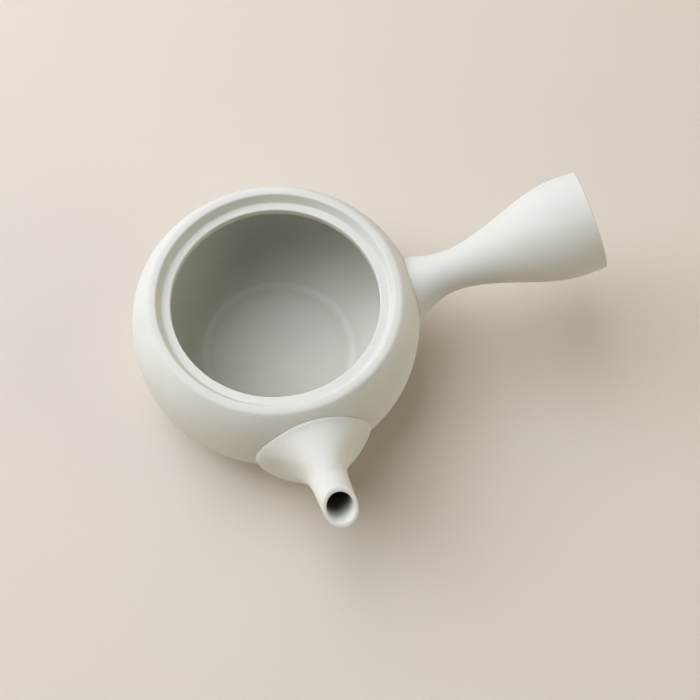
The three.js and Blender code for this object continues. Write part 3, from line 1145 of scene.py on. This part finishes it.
@dataclass(frozen=True)
class Bore:
    """Painted shade in the spout's tube, as a mask for its material."""

    spout: Spout = field(default_factory=Spout)
    start: float = 2.2
    fade: float = 8.0

    def mask(self, w: Wiring, place: Socket) -> Socket:
        """The painted shade: 1 well inside the tube and 0 outside it, rising with the depth below the tip's
        cut.

        The distance from the line through tip and neck is the length of the cross product of the line's
        direction with the way from the tip. The depth is minus the dot product of that way with the direction
        that the cut faces.

        Args:
            w: the material's wiring.
            place: Object coordinates.

        Returns:
            The mask's socket.
        """
        line, _, share = self.spout.centre_line()
        tip, neck = line[share < 1.0][-1], line[0]
        axis = (neck - tip) / np.linalg.norm(neck - tip)
        facing = direction(self.spout.tip_facing)
        way = w.vector("SUBTRACT", place, (0.0, -tip[0] * MM, tip[1] * MM))
        off = w.vector("LENGTH", w.vector("CROSS_PRODUCT", way, (0.0, -axis[0], axis[1])))
        up = w.vector("DOT_PRODUCT", way, (0.0, -facing[0], facing[1]))
        wall = self.spout.tip_radius - 0.5 * self.spout.tip_wall
        inside = w.maths("LESS_THAN", off, wall * MM)
        return w.product(inside, w.ramp(up, -self.start * MM, -self.fade * MM))


# The studio


def pose(right: Array, up: Array, back: Array, place: Array) -> Matrix:
    """The matrix of a camera or lamp, whose columns are right, up, back and the place.

    Args:
        right: unit vector to its right.
        up: unit vector to its top.
        back: unit vector away from what it faces.
        place: its place, in metres.

    Returns:
        The matrix.
    """
    columns = np.eye(4)
    columns[:3] = np.stack([right, up, back, place], axis=1)
    return Matrix(columns.tolist())


@dataclass(frozen=True)
class Camera:
    """The photograph's camera, fitted to the rings of the pot.

    Its place and the sensor are in millimetres, focal length and picture in pixels, near and far in metres.
    """

    place: Triple = (-36.679, -175.469, 392.557)
    right: Triple = (0.956249, -0.291051, 0.02961)
    up: Triple = (0.252519, 0.872257, 0.41881)
    focal: float = 1100.0
    picture: float = 700.0
    sensor: float = 36.0
    near: float = 0.01
    far: float = 20.0

    def build(self) -> None:
        """Makes the camera and has the scene look through it."""
        data = bpy.data.cameras.new("camera")
        data.sensor_width = self.sensor
        data.lens = self.focal / self.picture * self.sensor
        data.clip_start, data.clip_end = self.near, self.far
        camera = placed("camera", data)
        right, up = np.array(self.right), np.array(self.up)
        camera.matrix_world = pose(right, up, np.cross(right, up), np.array(self.place) * MM)
        bpy.context.scene.camera = camera


@dataclass(frozen=True)
class Lamp:
    """A soft lamp that faces the pot.

    Bearing and elevation are in degrees, size and distance in metres, and power in watts.
    """

    name: str
    bearing: float
    elevation: float
    size: float
    power: float
    color: Triple
    distance: float = 1.3

    def build(self) -> None:
        """Makes the lamp on a sphere round the pot: distance * (cos e cos b, cos e sin b, sin e)."""
        level, rise = direction(self.elevation)
        back = np.array([*(level * direction(self.bearing)), rise])
        data = bpy.data.lights.new(self.name, "AREA")
        data.shape, data.size, data.energy, data.color = "DISK", self.size, self.power, self.color
        right = np.cross([0.0, 0.0, 1.0], back)
        right /= np.linalg.norm(right)
        placed(self.name, data).matrix_world = pose(right, np.cross(back, right), back, self.distance * back)


@dataclass(frozen=True)
class Studio:
    """Pale floor, soft lamps, pale surroundings and the camera. Sizes are in metres, scales a metre."""

    floor_color: Triple = (0.70, 0.65, 0.585)
    floor_size: float = 6.0
    floor_roughness: float = 0.9
    floor_specular: float = 0.2
    cloud_scale: float = 3.0
    cloud_range: Pair = (0.985, 1.015)
    grain_scale: float = 900.0
    grain_relief: float = 0.00005
    fade_from: float = 0.5
    fade_to: float = 1.1
    backdrop_color: Triple = (0.70, 0.665, 0.61)
    lamps: tuple[Lamp, ...] = (
        Lamp("window", 145.0, 56.0, 1.5, 12.9, (0.92, 0.948, 1.0)),
        Lamp("window, right", 120.0, 56.0, 1.5, 6.4, (0.92, 0.948, 1.0)),
        Lamp("window, low", 150.0, 36.0, 1.0, 3.8, (0.92, 0.948, 1.0)),
        Lamp("back", 90.0, 36.0, 1.0, 1.8, (1.0, 0.743, 0.546)),
        Lamp("back right", 60.0, 34.0, 1.0, 1.35, (1.0, 0.743, 0.546)),
        Lamp("right", 345.0, 32.0, 1.0, 2.7, (1.0, 0.98, 0.77)),
        Lamp("front, high", 320.0, 50.0, 1.2, 0.67, (1.0, 1.0, 0.95)),
        Lamp("front, low", 322.0, 13.0, 0.9, 3.65, (1.0, 0.835, 0.66)),
        Lamp("left, low", 206.0, 10.0, 0.8, 3.0, (1.0, 0.785, 0.36)),
    )
    camera: Camera = field(default_factory=Camera)

    def plaster(self) -> bpy.types.Material:
        """The floor's finish: faint clouds of tone and fine grain.

        For the camera it fades with distance into the backdrop's colour, so that the horizon is a soft band.

        Returns:
            The material.
        """
        material, w, shader, place = new_material("pale plaster")
        tone = w.ramp(w.noise(place, self.cloud_scale), 0.0, 1.0, *self.cloud_range)
        shade = w.add("ShaderNodeVectorMath", {0: self.floor_color, 3: tone}, operation="SCALE")
        grain = w.noise(place, self.grain_scale)
        bump = w.add("ShaderNodeBump", {"Height": grain, "Distance": self.grain_relief})
        w.join(shade.outputs[0], shader.inputs["Base Color"])
        w.join(bump.outputs["Normal"], shader.inputs["Normal"])
        shader.inputs["Roughness"].default_value = self.floor_roughness
        shader.inputs["Specular IOR Level"].default_value = self.floor_specular
        fade = w.ramp(w.vector("LENGTH", place), self.fade_from, self.fade_to)
        seen = w.add("ShaderNodeLightPath").outputs["Is Camera Ray"]
        glow = w.add("ShaderNodeEmission", {"Color": (*self.backdrop_color, 1.0)}).outputs[0]
        shaders = {0: w.product(fade, seen), 1: shader.outputs[0], 2: glow}
        shown = w.add("ShaderNodeMixShader", shaders).outputs[0]
        w.join(shown, material.node_tree.nodes["Material Output"].inputs["Surface"])
        return material

    def floor(self) -> None:
        """Makes a wide pale floor at the height of the pot's base."""
        mesh = bpy.data.meshes.new("floor")
        half = self.floor_size / 2.0
        corners = [(-half, -half, 0.0), (half, -half, 0.0), (half, half, 0.0), (-half, half, 0.0)]
        mesh.from_pydata(corners, [], [(0, 1, 2, 3)])
        mesh.materials.append(self.plaster())
        floor = placed("floor", mesh)

    def build(self) -> None:
        """Makes the floor, lamps, surroundings and camera, and sets how the scene is shown."""
        self.floor()
        for lamp in self.lamps:
            lamp.build()
        world = bpy.data.worlds.new("surroundings")
        world.use_nodes = True
        w = Wiring(world.node_tree)
        backdrop = world.node_tree.nodes["Background"]
        backdrop.inputs["Color"].default_value = (*self.backdrop_color, 1.0)
        seen = w.add("ShaderNodeLightPath").outputs["Is Camera Ray"]
        w.join(seen, backdrop.inputs["Strength"])
        bpy.context.scene.world = world
        bpy.context.scene.view_settings.view_transform = "Standard"
        self.camera.build()


def dress(piece: bpy.types.Object, node: str, material: bpy.types.Material) -> None:
    """Gives a piece its material and its body, and hides the CAD node that it replaces.

    Args:
        piece: the piece.
        node: the CAD node that it replaces.
        material: its finish.
    """
    piece.data.materials.append(material)
    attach(piece, BODY)
    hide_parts(node)
    log.info("%s: %d faces, stands for %s", piece.name, len(piece.data.polygons), node)


def main() -> None:
    logging.basicConfig(level=logging.INFO, format="%(name)s: %(message)s")
    grain = ClayGrain().build()
    # The pot's material is darkened inside its hollow: painted shade.
    thrown = ClayFinish("white clay, pot").material(grain, HollowShade())
    # The spout's material is darkened far down its bore to near black: painted shade.
    poured = ClayFinish("white clay, spout", lines=0.1, shade_tone=(0.2, 0.19, 0.16)).material(grain, Bore())
    turned = ClayFinish("white clay, handle", lines=0.1).material(grain)
    # The strainer's clay is given a darker, warmer tone than the outside's: painted shade for its place
    # inside the pot.
    inner = ClayFinish("inner clay", light=(0.53, 0.53, 0.475), dark=(0.50, 0.50, 0.45), lines=0.1)
    dress(Pot().build(), "pot", thrown)
    dress(Spout().build(), "spout", poured)
    dress(Handle().build(), "handle", turned)
    dress(Strainer().build(), "strainer", inner.material(grain))
    Studio().build()


if __name__ == "__main__":
    main()
